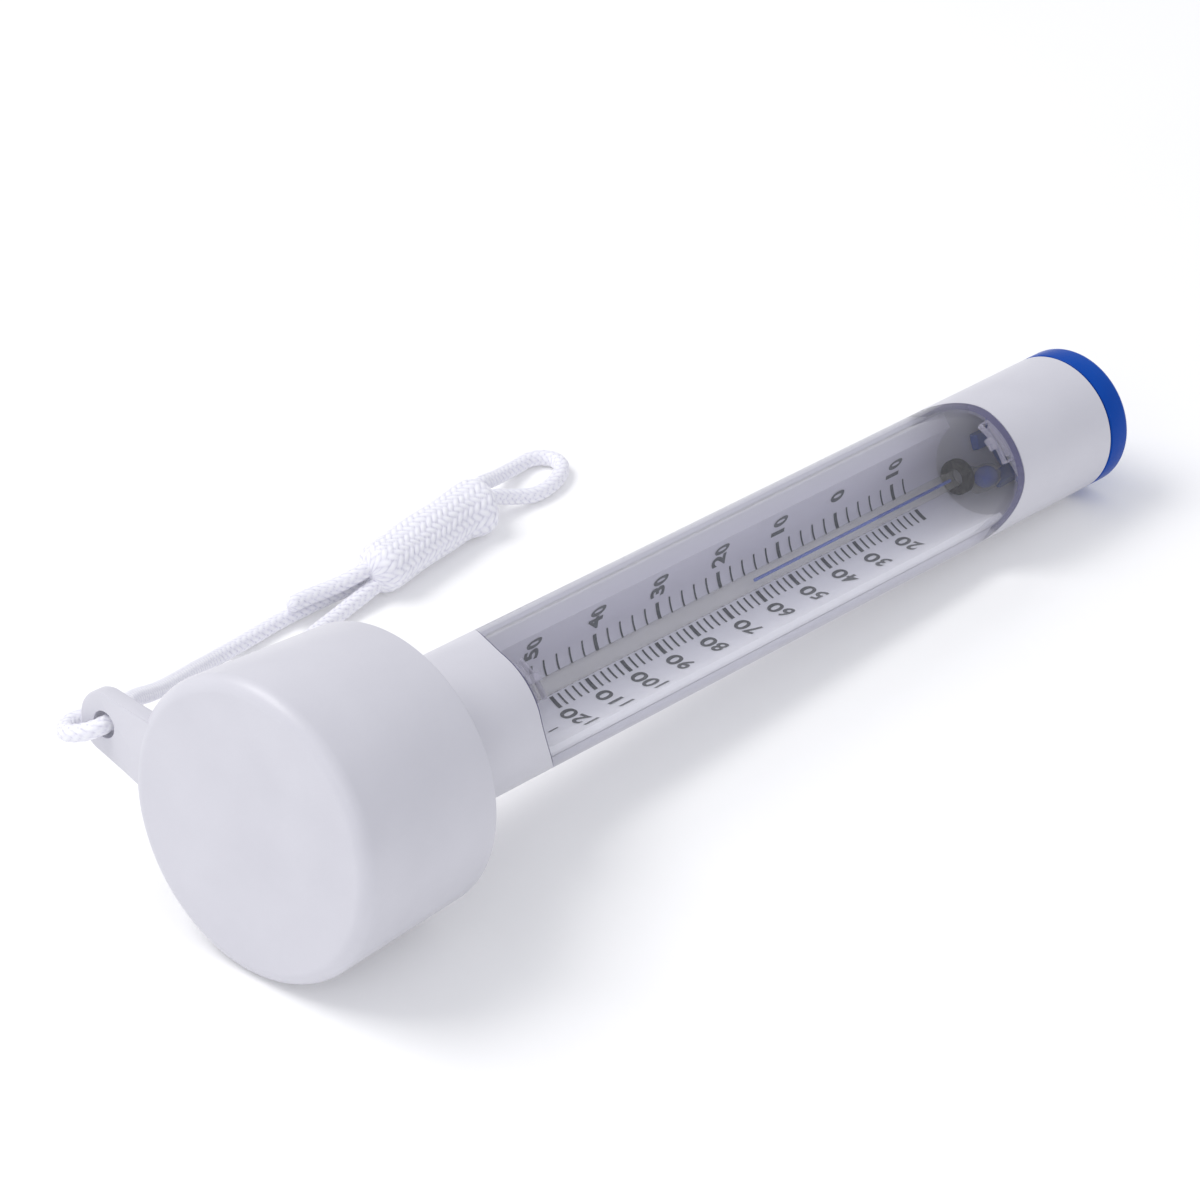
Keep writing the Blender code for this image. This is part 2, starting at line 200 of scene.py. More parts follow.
# Routes in table millimetres: the CAD's cord, with its strands joined in the eyelet and taken on through
# the knot.
STRAND_BACK = [
    (-88.55, 22.4, 27.5), (-86.4, 22.7, 27.35), (-84.5, 23.9, 26.9), (-81.6, 26.6, 25.6),
    (-77.0, 29.8, 22.9), (-71.2, 33.6, 19.2), (-64.6, 37.9, 15.3), (-57.8, 42.3, 11.6),
    (-51.0, 46.6, 8.1), (-45.0, 50.4, 4.9), (-39.0, 53.3, 2.5), (-32.0, 54.6, 1.5),
    (-24.0, 55.0, 1.4), (-16.0, 54.4, 1.5), (-10.6, 53.2, 2.2),
]
STRAND_FRONT = [
    (-88.65, 22.5, 27.46), (-90.6, 22.9, 27.2), (-91.9, 24.4, 26.5), (-92.4, 26.6, 25.7), (-91.4, 28.7, 25.0),
    (-89.0, 29.7, 24.7), (-86.2, 29.0, 24.3), (-82.6, 28.4, 22.6), (-77.4, 28.9, 18.8),
    (-70.6, 30.8, 13.8), (-62.2, 33.8, 8.8), (-53.0, 37.6, 4.9), (-43.2, 41.9, 2.3),
    (-34.0, 45.6, 1.4), (-25.6, 48.2, 1.4), (-17.4, 49.6, 1.5), (-10.6, 50.0, 2.4),
]
END_LOOP = [
    (20.2, 56.0, 5.3), (23.2, 57.2, 4.2), (26.5, 58.4, 3.0), (29.9, 59.4, 2.1), (33.3, 60.1, 1.5),
    (36.1, 60.3, 1.4), (38.3, 59.2, 1.4), (39.1, 57.0, 1.4), (38.0, 54.8, 1.4), (35.4, 53.1, 1.4),
    (32.0, 52.1, 1.4), (28.4, 52.1, 1.5), (24.4, 53.1, 2.5), (20.2, 53.5, 4.0),
]
TAIL = [
    (-2.0, 52.2, 5.0), (-6.4, 51.7, 5.1), (-10.8, 51.7, 4.8), (-14.4, 52.6, 4.1),
    (-17.8, 53.4, 3.9), (-21.0, 53.9, 3.9), (-23.8, 54.0, 3.9),
]
CORE_OUT = [(-6.0, 52.9, 3.6), (2.0, 53.2, 4.6), (10.0, 54.2, 5.0), (16.0, 55.2, 5.2)]
CORE_BACK = [(16.0, 52.9, 3.8), (8.0, 52.0, 3.8), (0.0, 51.0, 3.6), (-6.0, 50.2, 3.2)]

# The record's first mount is the float's front face: its place and outward direction give the tube's frame.
front_face = frame["record"]["mounts"][0]
along = -Vector(front_face["axis"])
TUBE = Matrix.Translation(front_face["pos_m"]) @ Matrix.Rotation(math.atan2(-along.z, along.x), 4, "Y")


# ---------------------------------------------------------------- camera and light


def make_camera():
    """The viewpoint: above and in front of the float, looking along the tube."""
    right = Vector(CAMERA_RIGHT).normalized()
    forward = Vector(CAMERA_FORWARD).normalized()
    up = right.cross(forward)
    data = bpy.data.cameras.new("camera")
    data.sensor_width = 36.0
    data.lens = CAMERA_LENS
    data.clip_start = 0.01
    camera = bpy.data.objects.new("camera", data)
    bpy.context.collection.objects.link(camera)
    turn = Matrix((right, up, -forward)).transposed().to_4x4()
    camera.matrix_world = Matrix.Translation(CAMERA_PLACE) @ turn
    bpy.context.scene.camera = camera


def area_light(name, place, target, size, power, colour):
    """A rectangular light that faces a target."""
    data = bpy.data.lights.new(name, "AREA")
    data.shape = "RECTANGLE"
    data.size, data.size_y = size
    data.energy = power
    data.color = colour
    light = bpy.data.objects.new(name, data)
    light.location = place
    light.rotation_euler = (Vector(target) - Vector(place)).to_track_quat("-Z", "Y").to_euler()
    bpy.context.collection.objects.link(light)


def make_light():
    """A pale studio, lit softly from above and a little from the front."""
    world = bpy.data.worlds.new("studio")
    bpy.context.scene.world = world
    world.use_nodes = True
    background = world.node_tree.nodes["Background"]
    background.inputs["Color"].default_value = (0.93, 0.94, 1.0, 1.0)
    background.inputs["Strength"].default_value = 0.70
    bpy.context.scene.view_settings.view_transform = "Standard"
    area_light("key", (-0.35, 0.45, 0.9), (0, 0, 0), (0.7, 0.5), 5.6, (1.0, 0.99, 0.97))
    area_light("fill", (-0.9, -0.5, 0.5), (0, 0, 0.02), (0.6, 0.6), 1.0, (0.95, 0.96, 1.0))


# ---------------------------------------------------------------- materials


def new_material(name, colour, roughness, **sockets):
    """A Principled material and its tree; further sockets by name, with _ for a space."""
    made = bpy.data.materials.new(name)
    made.use_nodes = True
    shader = made.node_tree.nodes["Principled BSDF"]
    shader.inputs["Base Color"].default_value = (*colour, 1.0)
    shader.inputs["Roughness"].default_value = roughness
    for key, value in sockets.items():
        shader.inputs[key.replace("_", " ")].default_value = value
    return made, made.node_tree, shader


def noise(tree, scale, detail=2.0, stretch=(1.0, 1.0, 1.0), roughness=0.5):
    """A noise texture in the piece's own coordinates, in metres."""
    place = tree.nodes.new("ShaderNodeTexCoord")
    mapping = tree.nodes.new("ShaderNodeMapping")
    mapping.inputs["Scale"].default_value = stretch
    made = tree.nodes.new("ShaderNodeTexNoise")
    made.inputs["Scale"].default_value = scale
    made.inputs["Detail"].default_value = detail
    made.inputs["Roughness"].default_value = roughness
    tree.links.new(place.outputs["Object"], mapping.inputs["Vector"])
    tree.links.new(mapping.outputs["Vector"], made.inputs["Vector"])
    return made.outputs["Fac"]


def ramp(tree, value, stops):
    """A colour ramp from (position, colour) stops."""
    made = tree.nodes.new("ShaderNodeValToRGB")
    elements = made.color_ramp.elements
    while len(elements) < len(stops):
        elements.new(0.5)
    for element, (position, colour) in zip(elements, stops):
        element.position = position
        element.color = (*colour, 1.0)
    tree.links.new(value, made.inputs["Fac"])
    return made.outputs["Color"]


def spread(tree, value, low, high):
    """Maps a 0 to 1 value to low to high."""
    made = tree.nodes.new("ShaderNodeMapRange")
    made.inputs["To Min"].default_value = low
    made.inputs["To Max"].default_value = high
    tree.links.new(value, made.inputs["Value"])
    return made.outputs["Result"]


def bump(tree, shader, height, distance, strength=1.0):
    """Small relief from a 0 to 1 height and a distance in metres."""
    made = tree.nodes.new("ShaderNodeBump")
    made.inputs["Distance"].default_value = distance
    made.inputs["Strength"].default_value = strength
    tree.links.new(height, made.inputs["Height"])
    tree.links.new(made.outputs["Normal"], shader.inputs["Normal"])


def moulded_plastic(name, light, dark, roughness, gloss=0.5):
    """Satin moulded plastic: slight mottling, uneven gloss and a fine moulding texture."""
    made, tree, shader = new_material(name, light, roughness, IOR=1.46, Specular_IOR_Level=gloss)
    mottle = noise(tree, 90.0, 3.0)
    tree.links.new(ramp(tree, mottle, [(0.3, dark), (0.7, light)]), shader.inputs["Base Color"])
    gloss_map = spread(tree, noise(tree, 260.0, 4.0), roughness - 0.07, roughness + 0.09)
    tree.links.new(gloss_map, shader.inputs["Roughness"])
    bump(tree, shader, noise(tree, 1500.0, 2.0), 0.00003, 0.6)
    return made


def see_through(name, tint, gloss, edge_on, face_on, roughness):
    """A thin clear wall: it lets light straight through, and shows its own colour more towards its edges."""
    made, tree, shader = new_material(name, tint, roughness, IOR=1.49, Specular_IOR_Level=gloss)
    weight = tree.nodes.new("ShaderNodeLayerWeight")
    weight.inputs["Blend"].default_value = 0.12
    wobble = noise(tree, 70.0, 1.0, (0.25, 1.0, 1.0))
    lift = tree.nodes.new("ShaderNodeMath")
    lift.operation = "MULTIPLY_ADD"
    tree.links.new(spread(tree, wobble, 0.8, 1.2), lift.inputs[0])
    tree.links.new(spread(tree, weight.outputs["Facing"], 0.0, edge_on - face_on), lift.inputs[1])
    lift.inputs[2].default_value = face_on
    tree.links.new(lift.outputs[0], shader.inputs["Alpha"])
    shine = tree.nodes.new("ShaderNodeBsdfGlossy")
    shine.inputs["Roughness"].default_value = roughness
    facing = tree.nodes.new("ShaderNodeLayerWeight")
    facing.inputs["Blend"].default_value = 0.5
    power = tree.nodes.new("ShaderNodeMath")
    power.operation = "POWER"
    power.inputs[1].default_value = 5.0
    tree.links.new(facing.outputs["Facing"], power.inputs[0])
    mix = tree.nodes.new("ShaderNodeMixShader")
    tree.links.new(spread(tree, power.outputs[0], 0.022, 0.9), mix.inputs["Fac"])
    tree.links.new(shader.outputs["BSDF"], mix.inputs[1])
    tree.links.new(shine.outputs["BSDF"], mix.inputs[2])
    tree.links.new(mix.outputs["Shader"], tree.nodes["Material Output"].inputs["Surface"])
    return made


def make_card_material():
    """White card with painted shade, darker towards its Celsius side."""
    made, tree, shader = new_material("printed_card", (0.78, 0.78, 0.86), 0.55)
    painted_shade_attribute = tree.nodes.new("ShaderNodeAttribute")
    painted_shade_attribute.attribute_name = "card_painted_shade_side"
    # Painted shade: the card darkens from its Fahrenheit side towards its Celsius side, darkest part way up
    # the Celsius side.
    stops = [
        (0.0, (0.86, 0.86, 0.92)),
        (0.5, (0.66, 0.655, 0.74)),
        (0.72, (0.50, 0.49, 0.58)),
        (1.0, (0.58, 0.57, 0.66)),
    ]
    tree.links.new(ramp(tree, painted_shade_attribute.outputs["Fac"], stops), shader.inputs["Base Color"])
    bump(tree, shader, noise(tree, 900.0, 3.0), 0.00002, 0.5)
    return made


def make_ink():
    """Black print, a little worn."""
    made, tree, shader = new_material("ink", (0.028, 0.034, 0.040), 0.5)
    stops = [(0.35, (0.022, 0.027, 0.034)), (0.75, (0.075, 0.085, 0.098))]
    tree.links.new(ramp(tree, noise(tree, 2600.0, 3.0), stops), shader.inputs["Base Color"])
    return made


def make_liquid():
    """Blue thermometer liquid."""
    made, tree, shader = new_material("blue_liquid", (0.03, 0.085, 0.46), 0.12, IOR=1.36)
    stops = [(0.3, (0.02, 0.06, 0.40)), (0.7, (0.05, 0.12, 0.55))]
    tree.links.new(ramp(tree, noise(tree, 300.0, 1.0), stops), shader.inputs["Base Color"])
    return made


def make_rubber():
    """Black crumbly rubber."""
    made, tree, shader = new_material("black_rubber", (0.03, 0.03, 0.026), 0.75, Specular_IOR_Level=0.25)
    crumb = noise(tree, 1600.0, 5.0, roughness=0.7)
    stops = [(0.4, (0.016, 0.016, 0.013)), (0.72, (0.085, 0.085, 0.070))]
    tree.links.new(ramp(tree, crumb, stops), shader.inputs["Base Color"])
    bump(tree, shader, crumb, 0.00025)
    return made


def make_steel():
    """Dull turned steel."""
    made, tree, shader = new_material("steel", (0.72, 0.72, 0.80), 0.5, Metallic=0.25)
    turned = noise(tree, 900.0, 2.0, (8.0, 1.0, 1.0))
    tree.links.new(spread(tree, turned, 0.25, 0.5), shader.inputs["Roughness"])
    return made


def make_braid_material():
    """White braid with painted shade between its yarns, and fine fibres."""
    sheen = {"Sheen_Weight": 0.35, "Sheen_Roughness": 0.4, "Specular_IOR_Level": 0.55}
    made, tree, shader = new_material("braided_cord", (0.84, 0.84, 0.90), 0.62, **sheen)
    depth = tree.nodes.new("ShaderNodeAttribute")
    depth.attribute_name = "yarn_height"
    # Painted shade: darker where the yarns dip between each other, lightest on their crowns.
    stops = [(0.05, (0.62, 0.61, 0.72)), (0.55, (0.88, 0.875, 0.94)), (1.0, (0.95, 0.95, 0.98))]
    tree.links.new(ramp(tree, depth.outputs["Fac"], stops), shader.inputs["Base Color"])
    bump(tree, shader, noise(tree, 5200.0, 2.0), 0.00006, 0.7)
    return made


def make_floor_material():
    """Plain pale paper that glows a little, so that it stays white away from the lights."""
    made, tree, shader = new_material("floor", (0.86, 0.86, 0.86), 0.9, Emission_Strength=0.14)
    stops = [(0.3, (0.855, 0.855, 0.855)), (0.7, (0.865, 0.865, 0.865))]
    tree.links.new(ramp(tree, noise(tree, 12.0), stops), shader.inputs["Base Color"])
    shader.inputs["Emission Color"].default_value = (1.0, 1.0, 1.0, 1.0)
    return made


def make_materials():
    """All finishes, by short name."""
    return {
        "white": moulded_plastic("white_plastic", (0.655, 0.65, 0.70), (0.625, 0.62, 0.67), 0.34),
        "blue": moulded_plastic("blue_plastic", (0.002, 0.07, 0.41), (0.0015, 0.055, 0.35), 0.3, 0.12),
        "clear": see_through("clear_plastic", (0.74, 0.74, 0.83), 0.5, 0.34, 0.004, 0.03),
        # edge: painted shade, the dark blue that the clear plastic's cut ends show.
        "edge": see_through("clear_plastic_edge_painted_shade", (0.11, 0.105, 0.24), 0.5, 0.95, 0.72, 0.08),
        # band: painted highlight, a paler strip along the cover's long edges and inside its right end.
        "band": see_through("clear_plastic_band_painted_highlight", (0.60, 0.59, 0.76), 0.7, 0.60, 0.22, 0.05),
        "clip": see_through("clear_plastic_clip", (0.52, 0.50, 0.62), 0.9, 0.95, 0.35, 0.05),
        "glass": see_through("glass", (0.56, 0.55, 0.46), 0.9, 0.75, 0.10, 0.04),
        "card": make_card_material(),
        "ink": make_ink(),
        "liquid": make_liquid(),
        "rubber": make_rubber(),
        "steel": make_steel(),
        "cord": make_braid_material(),
        "floor": make_floor_material(),
    }


# ---------------------------------------------------------------- shape helpers


def polar(length, radius, angle):
    """A point of the tube's frame, in metres, from its length, radius and angle in degrees."""
    turn = math.radians(angle)
    return Vector((length, -radius * math.sin(turn), radius * math.cos(turn))) * MM


def arc(centre, radius, start, end, steps):
    """Points of an arc in the plane of two lengths; angles in degrees."""
    points = []
    for i in range(steps + 1):
        turn = math.radians(start + (end - start) * i / steps)
        points.append((centre[0] + radius * math.cos(turn), centre[1] + radius * math.sin(turn)))
    return points


def finish_mesh(name, bm, finish, body=BODY, matrix=TUBE, sharp=SHARP_ANGLE):
    """Makes an object of a mesh, placed by matrix, that rides on a body if one is given."""
    bmesh.ops.remove_doubles(bm, verts=bm.verts, dist=1e-7)
    bmesh.ops.recalc_face_normals(bm, faces=bm.faces)
    mesh = bpy.data.meshes.new(name)
    bm.to_mesh(mesh)
    bm.free()
    mesh.transform(matrix)
    mesh.shade_smooth()
    mesh.set_sharp_from_angle(angle=math.radians(sharp))
    mesh.materials.append(finish)
    obj = bpy.data.objects.new(name, mesh)
    bpy.context.collection.objects.link(obj)
    if body:
        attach(obj, body)
    return obj


def spun(profile, steps, centre=None, closed=False):
    """A profile of (length, radius) pairs spun about the tube's axis, or about a line through centre."""
    bm = bmesh.new()
    verts = [bm.verts.new(Vector((length, 0.0, radius)) * MM) for length, radius in profile]
    edges = [bm.edges.new(pair) for pair in zip(verts, verts[1:])]
    if closed:
        edges.append(bm.edges.new((verts[-1], verts[0])))
    bmesh.ops.spin(
        bm,
        geom=verts + edges,
        cent=(0, 0, 0),
        axis=(1, 0, 0),
        angle=math.tau,
        steps=steps,
        use_duplicate=False,
    )
    if centre:
        bmesh.ops.translate(bm, verts=bm.verts, vec=polar(0.0, *centre))
    return bm


def pushed(outline, shift):
    """An outline of points, closed off as a face and pushed along a vector into a solid."""
    bm = bmesh.new()
    face = bm.faces.new([bm.verts.new(point) for point in outline])
    moved = bmesh.ops.extrude_face_region(bm, geom=[face])["geom"]
    bmesh.ops.translate(bm, verts=[v for v in moved if isinstance(v, bmesh.types.BMVert)], vec=shift)
    return bm


def combined(obj, bm, operation):
    """Cuts a helper solid from an object, or joins it on, and keeps only the result."""
    helper = finish_mesh("helper", bm, obj.data.materials[0], body=None)
    modifier = obj.modifiers.new("combine", "BOOLEAN")
    modifier.operation = operation
    modifier.object = helper
    modifier.solver = "EXACT"
    made = bpy.data.meshes.new_from_object(obj.evaluated_get(bpy.context.evaluated_depsgraph_get()))
    obj.modifiers.clear()
    obj.data = made
    made.set_sharp_from_angle(angle=math.radians(SHARP_ANGLE))
    bpy.data.objects.remove(helper)


def soften(obj, width):
    """Rounds an object's sharp edges off by a small width in mm."""
    modifier = obj.modifiers.new("edges", "BEVEL")
    modifier.width = width * MM
    modifier.segments = 2
    modifier.limit_method = "ANGLE"
    modifier.angle_limit = math.radians(50)
    modifier.harden_normals = True


def arc_block(start, end, inner, outer, middle, half):
    """A block bent round the axis: two lengths, two radii, and a middle angle with its half width."""
    bm = bmesh.new()
    rows = []
    steps = 10
    for i in range(steps + 1):
        angle = middle - half + 2 * half * i / steps
        corners = [(start, inner), (end, inner), (end, outer), (start, outer)]
        rows.append([bm.verts.new(polar(length, radius, angle)) for length, radius in corners])
    bm.faces.new(rows[0])
    bm.faces.new(rows[-1])
    for a, b in zip(rows, rows[1:]):
        for i in range(4):
            bm.faces.new((a[i], a[i - 1], b[i - 1], b[i]))
    return bm


# ---------------------------------------------------------------- shells


def lug_tip(inset):
    """The lug's rounded outline, as (outwards, sideways) pairs, drawn in by an inset."""
    return arc((LUG_CENTRE, 0.0), LUG_HALF_WIDTH - inset, -78, 78, 20)


def lug_ring(length, outline):
    """An outline of (outwards, sideways) pairs at a length, as points of the tube's frame."""
    out = polar(0.0, 1.0, LUG_ANGLE)
    side = polar(0.0, 1.0, LUG_ANGLE + 90.0)
    return [Vector((length, 0, 0)) * MM + out * u + side * v for u, v in outline]


def lug_solid():
    """The lug with its rounded edges, rooted in the drum's wall."""
    half_root = LUG_HALF_WIDTH + LUG_ROOT_FLARE
    root = [(LUG_ROOT, half_root), (LUG_ROOT, -half_root)]
    layers = (
        (LUG_START, LUG_EDGE),
        (LUG_START + LUG_EDGE_STEP, LUG_EDGE_STEP),
        (LUG_START + LUG_EDGE, 0.0),
        (LUG_END - LUG_EDGE, 0.0),
        (LUG_END - LUG_EDGE_STEP, LUG_EDGE_STEP),
        (LUG_END, LUG_EDGE),
    )
    bm = bmesh.new()
    rings = []
    for length, inset in layers:
        rings.append([bm.verts.new(point) for point in lug_ring(length, lug_tip(inset) + root)])
    bm.faces.new(rings[0])
    bm.faces.new(rings[-1])
    for a, b in zip(rings, rings[1:]):
        for i in range(len(a)):
            bm.faces.new((a[i], a[i - 1], b[i - 1], b[i]))
    return bm


def make_float(mats):
    """The hollow drum with its rounded rim, flush lug and eyelet hole."""
    profile = [(0.0, 0.0)]
    profile += arc((FLOAT_EDGE, FLOAT_RADIUS - FLOAT_EDGE), FLOAT_EDGE, 180, 90, 14)
    profile += arc((FLOAT_LENGTH - REAR_EDGE, FLOAT_REAR_RADIUS - REAR_EDGE), REAR_EDGE, 87, 0, 4)
    profile += [(FLOAT_LENGTH, 19.2), (3.8, 20.3), (FLOAT_WALL, 18.4), (FLOAT_WALL, 0.0)]
    drum = finish_mesh("float_drum", spun(profile, 128), mats["white"])
    combined(drum, lug_solid(), "UNION")
    hole = lug_ring(LUG_START - 1, arc((LUG_CENTRE, 0.0), LUG_HOLE_RADIUS, 0, 352.5, 47))
    combined(drum, pushed(hole, Vector((LUG_END - LUG_START + 2, 0, 0)) * MM), "DIFFERENCE")
    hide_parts("float_shell")


def make_float_disc(mats):
    """The disc that closes the drum from behind, with its groove and its collar round the tube."""
    bore = TUBE_RADIUS + GAP
    profile = [
        (DISC_START, bore),
        (DISC_FACE - DISC_EDGE, bore),
        (DISC_FACE, bore + DISC_EDGE),
        (DISC_FACE, DISC_RADIUS - DISC_EDGE),
        (DISC_FACE - DISC_EDGE, DISC_RADIUS),
        (GROOVE_END, DISC_RADIUS),
        (GROOVE_END, GROOVE_RADIUS),
        (GROOVE_START, GROOVE_RADIUS),
        (GROOVE_START, DISC_RADIUS),
        (DISC_START, DISC_RADIUS),
        (DISC_START, COLLAR_RADIUS),
        (COLLAR_START, COLLAR_RADIUS),
        (COLLAR_START, bore),
    ]
    disc = finish_mesh("float_rear_disc", spun(profile, 128, closed=True), mats["white"])
    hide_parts("float_base")


def window_outline():
    """The window's cut-out from its front, as (length, side) pairs, reaching past the tube's sides."""
    flat = TUBE_RADIUS - WINDOW_CORNER
    beyond = TUBE_RADIUS + 2
    far = WINDOW_END - WINDOW_CORNER
    near = WINDOW_START + WINDOW_CORNER
    upper = arc((far, flat), WINDOW_CORNER, 0, 90, 16)
    upper += [(far, beyond), (near, beyond)]
    upper += arc((near, flat), WINDOW_CORNER, 90, 180, 16)
    return upper + [(x, -y) for x, y in reversed(upper)]


def window_block():
    """The window's cut-out as a solid, from the tube's axis outwards."""
    up = polar(0.0, 1.0, WINDOW_ANGLE)
    side = polar(0.0, 1.0, WINDOW_ANGLE - 90.0)
    outline = [Vector((x, 0, 0)) * MM + side * y for x, y in window_outline()]
    return pushed(outline, up * 2 * TUBE_RADIUS)


def make_tube(mats):
    """The white tube with the window's cut-out."""
    profile = [(TUBE_START, TUBE_INNER), (TUBE_END, TUBE_INNER), (TUBE_END, TUBE_RADIUS - TUBE_EDGE)]
    profile += [(TUBE_END - TUBE_EDGE, TUBE_RADIUS), (TUBE_START, TUBE_RADIUS)]
    tube = finish_mesh("tube", spun(profile, 160, closed=True), mats["white"])
    combined(tube, window_block(), "DIFFERENCE")
    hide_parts("body_tube")


def window_row(bm, turn, radius, shares):
    """A lengthwise row of the cover's points at a turn from its middle, at shares of its length there."""
    side = radius * math.sin(turn)
    over = max(0.0, abs(side) - (TUBE_RADIUS - WINDOW_CORNER))
    corner = WINDOW_CORNER - math.sqrt(max(0.0, WINDOW_CORNER**2 - over**2))
    low = WINDOW_START + GAP / 2 + corner
    high = WINDOW_END - GAP / 2 - corner
    angle = WINDOW_ANGLE - math.degrees(turn)
    return [bm.verts.new(polar(low + (high - low) * share, radius, angle)) for share in shares]


def make_window(mats):
    """Clear half-round cover: a wall whose cut ends are dark blue painted shade, with a painted shade strip
    inside its left end, and whose long edges and a strip inside its right end are paler painted highlight.
    """
    bm = bmesh.new()
    across = 72
    shares = [0.0, PAINTED_SHADE_STRIP] + [i / 20 for i in range(1, 20)] + [1.0 - PAINTED_HIGHLIGHT_STRIP, 1.0]
    lengthwise = len(shares) - 1
    layers = []
    for radius in (TUBE_RADIUS, TUBE_INNER):
        rows = []
        for i in range(across + 1):
            turn = math.radians(-WINDOW_HALF_ANGLE + 2 * WINDOW_HALF_ANGLE * i / across)
            rows.append(window_row(bm, turn, radius, shares))
        layers.append(rows)
    outer, inner = layers
    painted_shade_index = 1
    pale = 2
    for i in range(across):
        for j in range(lengthwise):
            bm.faces.new((outer[i][j], outer[i + 1][j], outer[i + 1][j + 1], outer[i][j + 1]))
            wall = bm.faces.new((inner[i][j], inner[i][j + 1], inner[i + 1][j + 1], inner[i + 1][j]))
            # Painted shade on the left end's strip, and below on both cut ends.
            if j == 0:
                wall.material_index = painted_shade_index
            # Painted highlight on the right end's strip.
            elif j == lengthwise - 1:
                wall.material_index = pale
        for j in (0, lengthwise):
            end = bm.faces.new((outer[i][j], outer[i + 1][j], inner[i + 1][j], inner[i][j]))
            end.material_index = painted_shade_index
    # Painted highlight on the long cut edges.
    for j in range(lengthwise):
        for i in (0, across):
            side = bm.faces.new((outer[i][j], outer[i][j + 1], inner[i][j + 1], inner[i][j]))
            side.material_index = pale
    window = finish_mesh("window_cover", bm, mats["clear"])
    window.data.materials.append(mats["edge"])
    window.data.materials.append(mats["band"])
    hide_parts("window")


def make_clips(mats):
    """The cover's two moulded clips, of small blocks: each one's two lengths, middle angle and half width."""
    blocks = (
        ("clip_right_outer", 155.3, 155.8, 40.0, 22.0),
        ("clip_right_inner", 152.9, 153.4, 40.0, 22.0),
        ("clip_right_top", 153.4, 155.3, 18.6, 0.9),
        ("clip_right_bottom", 153.4, 155.3, 61.4, 0.9),
        ("clip_right_bar", 154.2, 154.5, 40.0, 17.0),
        ("clip_right_nose", 151.7, 152.9, 40.0, 6.0),
        ("clip_left_a", 47.2, 48.0, 30.0, 8.0),
        ("clip_left_b", 47.2, 48.0, 54.0, 8.0),
        ("clip_left_c", 49.0, 49.5, 30.0, 8.0),
        ("clip_left_d", 49.0, 49.5, 54.0, 8.0),
        ("clip_left_nose", 47.6, 50.2, 42.0, 4.0),
    )
    for name, low, high, middle, half in blocks:
        block = arc_block(low, high, CLIP_INNER, TUBE_INNER - 0.05, middle, half)
        soften(finish_mesh(name, block, mats["clip"]), 0.08)


# ---------------------------------------------------------------- card and its print


def card_width(side):
    """Half width of the trough on the side that this distance or angle from its middle line is on."""
    return CARD_WIDTH_C if side >= 0 else CARD_WIDTH_F


def card_section():
    """The face of the card from edge to edge, as (side, height) pairs."""
    limit = math.degrees(math.acos(CARD_LIP / CARD_DEPTH))
    curve = []
    for i in range(61):
        turn = math.radians(-limit + 2 * limit * i / 60)
        curve.append((card_width(turn) * math.sin(turn), -CARD_DEPTH * math.cos(turn)))
    lip = -CARD_LIP + CARD_LIP_RISE
    return [(-CARD_REACH, lip)] + curve + [(CARD_REACH, lip)]


def on_card(length, side, height):
    """A point of the tube's frame from a length, a distance sideways and a height towards the window."""
    up = polar(0.0, 1.0, WINDOW_ANGLE)
    across = polar(0.0, 1.0, WINDOW_ANGLE - 90.0)
    return Vector((length, 0, 0)) * MM + across * side + up * height


def make_card(mats):
    """The thin curved card, with how far across it each point lies kept for its painted shade."""
    face = card_section()
    back = [(side, height - CARD_THICKNESS) for side, height in face]
    outline = [on_card(CARD_START, side, height) for side, height in face + back[::-1]]
    sheet = pushed(outline, Vector((CARD_END - CARD_START, 0, 0)) * MM)
    card = finish_mesh("card", sheet, mats["card"], sharp=60)
    # Painted shade: 0 on the Fahrenheit side to 1 on the Celsius side.
    across = (TUBE.to_3x3() @ polar(0.0, 1.0, WINDOW_ANGLE - 90.0)).normalized()
    middle = TUBE @ on_card(0.0, 0.0, 0.0)
    painted_shade_attribute = card.data.attributes.new("card_painted_shade_side", "FLOAT", "POINT")
    for value, vert in zip(painted_shade_attribute.data, card.data.vertices):
        value.value = 0.5 + 0.5 * (vert.co - middle).dot(across) / (CARD_REACH * MM)
    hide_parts("scale_card")


def card_arc(width):
    """Distances along one side of the card's face from its middle line, with how far sideways each lies."""
    turns = np.linspace(0.0, 1.4, 400)
    sides = width * np.sin(turns)
    heights = -CARD_DEPTH * np.cos(turns)
    steps = np.hypot(np.diff(sides), np.diff(heights))
    return np.concatenate([[0.0], np.cumsum(steps)]), sides


def print_point(length, distance):
    """A point just above the card's face, at a distance along the face from its middle line."""
    if distance >= 0:
        side = float(np.interp(distance, *CELSIUS_ARC))
    else:
        side = -float(np.interp(-distance, *FAHRENHEIT_ARC))
    width = card_width(side)
    height = -CARD_DEPTH * math.sqrt(max(0.0, 1.0 - (side / width) ** 2))
    slope = Vector((side / width**2, height / CARD_DEPTH**2)).normalized()
    return on_card(length, side - slope.x * PRINT_LIFT, height - slope.y * PRINT_LIFT)


def add_mark(bm, at, start, end, width):
    """A printed line across the scale, from one distance along the face to another."""
    rows = []
    for i in range(7):
        distance = start + (end - start) * i / 6
        lengths = (at - width / 2, at + width / 2)
        rows.append([bm.verts.new(print_point(length, distance)) for length in lengths])
    for a, b in zip(rows, rows[1:]):
        bm.faces.new((a[0], a[1], b[1], b[0]))


